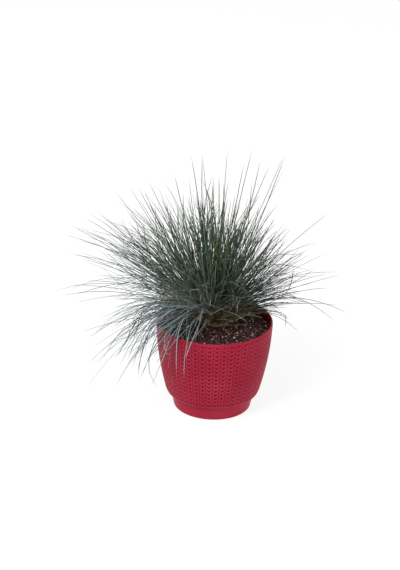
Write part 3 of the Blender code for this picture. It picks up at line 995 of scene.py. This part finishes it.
# It strays from there, more towards its tip, and bows. No leaf goes much further from the heart
# than its guides, and one that droops is led over the rim.
heart = CROWN_PLACE + Vector((0, 0, SOIL_CLEARANCE))
grown_to = (place - heart).maths("LENGTH")
stray = per_leaf(-STRAY_BOX, STRAY_BOX, 6, "FLOAT_VECTOR")
bow = per_leaf(*BOW_BOX, 7, "FLOAT_VECTOR")
wayward = per_leaf(0.0, 1.0, 10) < WAYWARD_SHARE
wayward = 1.0 + WAYWARD_BOW * wayward + DEAD_BOW * dead
looseness = (1.0 + filling * FILLING_LOOSER) * tousle + dead * DEAD_LOOSER
looseness = BASE_STRAY + reached**STRAY_GROWTH * looseness * length * TIP_STRAY
place = place + stray * following * looseness
bowed = (along * math.pi).maths("SINE")
place = place + bow * following * wayward * bowed * tousle * reach * length * LEAF_BOW
place = place - heart
longest = grown_to * LONGEST_STRAY / place.maths("LENGTH")
place = place * longest.maths("MINIMUM", 1.0) + heart
place = place - on_guide(first, 0.0, "Tangent") * (station < 0.5) * ROOT_SINK
x, y, z = growth.parts(place)
from_axis = (x * x + y * y).maths("SQRT")
lowest = SOIL_CLEARANCE + (from_axis - RIM_INSIDE).maths("MAXIMUM", 0.0) * RIM_SLOPES[0]
beyond_rim = (from_axis - RIM_OUTSIDE).maths("MAXIMUM", 0.0)
lowest = lowest.maths("MINIMUM", POT_HEIGHT + RIM_CLEARANCE) - beyond_rim * RIM_SLOPES[1]
z = z.maths("SMOOTH_MAX", lowest, RIM_SOFTNESS)
place = growth.node("ShaderNodeCombineXYZ", None, {"X": x, "Y": y, "Z": z})

taper = (1.0 - 0.5 * along ** LEAF_TAPER[0]) * (1.0 - along ** LEAF_TAPER[1])
breadth = half_width * per_leaf(*LEAF_WIDTHS, 9) * taper * (station > 0.5)
kept = {"along": along, "tone": per_leaf(0.0, 1.0, 8), "dead": dead, "bloom": bloom}
for name, value in {**kept, "leaf": leaf, "breadth": breadth}.items():
    line = growth.stored(line, name, value)
line = growth.moved(line, position=place)
line = growth.node("GeometryNodeSetCurveNormal", {"mode": "Z_UP"}, {"Curve": line})
rise = growth.node("GeometryNodeSplineParameter", None, None, "Length")
line = growth.stored(line, "rise", rise)
folded = {f"Point {number}": point for number, point in enumerate(LEAF_FOLD, 1)}
fold = growth.node("GeometryNodeCurvePrimitiveQuadrilateral", {"mode": "POINTS"}, folded)
fold = growth.stored(fold, "side", growth.node("GeometryNodeInputIndex"))
along, breadth, leaf, side = map(growth.named, ("along", "breadth", "leaf", "side"))
sheath = (1.0 - rise.ramped(*SHEATH_OPENING)) * SHEATH_HALF_WIDTH * (breadth > 1e-9)
inputs = {"Curve": line, "Profile Curve": fold, "Scale": breadth + sheath}
tuft = growth.node("GeometryNodeCurveToMesh", None, inputs)


def on_face(value):
    settings = {"domain": "FACE", "data_type": "FLOAT"}
    return growth.node("GeometryNodeFieldOnDomain", settings, {"Value": value})


# Each leaf has its own strip of the tuft's UV map, and its last side ends on the strip's far edge.
folds_back = (on_face(side < 0.5) * on_face(side > 2.5)) > 0.1
strip = leaf + 0.5 * (side + 4.0 * folds_back * (side < 0.5)) / 4.0
chart = growth.node("ShaderNodeCombineXYZ", None, {"X": strip / leaves, "Y": along})
tuft = growth.stored(tuft, "OFBake", chart, "FLOAT2", "CORNER")
tuft = growth.node("GeometryNodeMergeByDistance", None, {"Geometry": tuft, "Distance": 1e-6})
growth.ended(tuft, finish)

leaf_finishes = {
    slot: leaf_finish(slot.replace("_", " "), *colours) for slot, colours in LEAF_COLOURS.items()
}
for number, node in enumerate(sorted(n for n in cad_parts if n.startswith("leaf_tuft"))):
    slot = list(LEAF_COLOURS)[(number >= HEART_TUFTS) + (number >= HEART_TUFTS + MIDDLE_TUFTS)]
    low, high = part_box(node)
    outwards = [low[axis] + high[axis] - 2 * CROWN_PLACE[axis] for axis in (0, 1)]
    facing = math.atan2(outwards[1], outwards[0])
    towards_front, towards_right = max(0.0, -math.sin(facing)), max(0.0, math.cos(facing))
    towards_wax = max(0.0, math.cos(facing - MOST_WAX)) ** 3
    sides = (*FULLER_SIDES, FULLEST_OUTER) if slot == "outer_blades" else FULLER_SIDES
    fullness = FULLNESS[slot]
    for side, narrowness, more in sides:
        fullness += more * max(0.0, math.cos(facing - math.radians(side))) ** narrowness
    guides, length = guide_lines(node)
    sizes = {
        "leaves": round(LEAVES * fullness),
        "seed": number + 1,
        "length": length,
        "shortest_reach": SHORTEST_REACH[slot],
        "filling_share": FILLING_SHARE[slot] * (1 - SPARSE_RIGHT * towards_right),
        "dead_share": DEAD_SHARE * (1 + towards_front),
        "bloom": WAX_ON_SIDES[0] + WAX_ON_SIDES[1] * towards_wax,
        "tousle": 1 + TOUSLED_FRONT[slot] * towards_front,
        "finish": leaf_finishes[slot],
    }
    piece = growth.grown(node + "_leaves", guides, **sizes)
    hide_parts(node)
    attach(piece, "root")
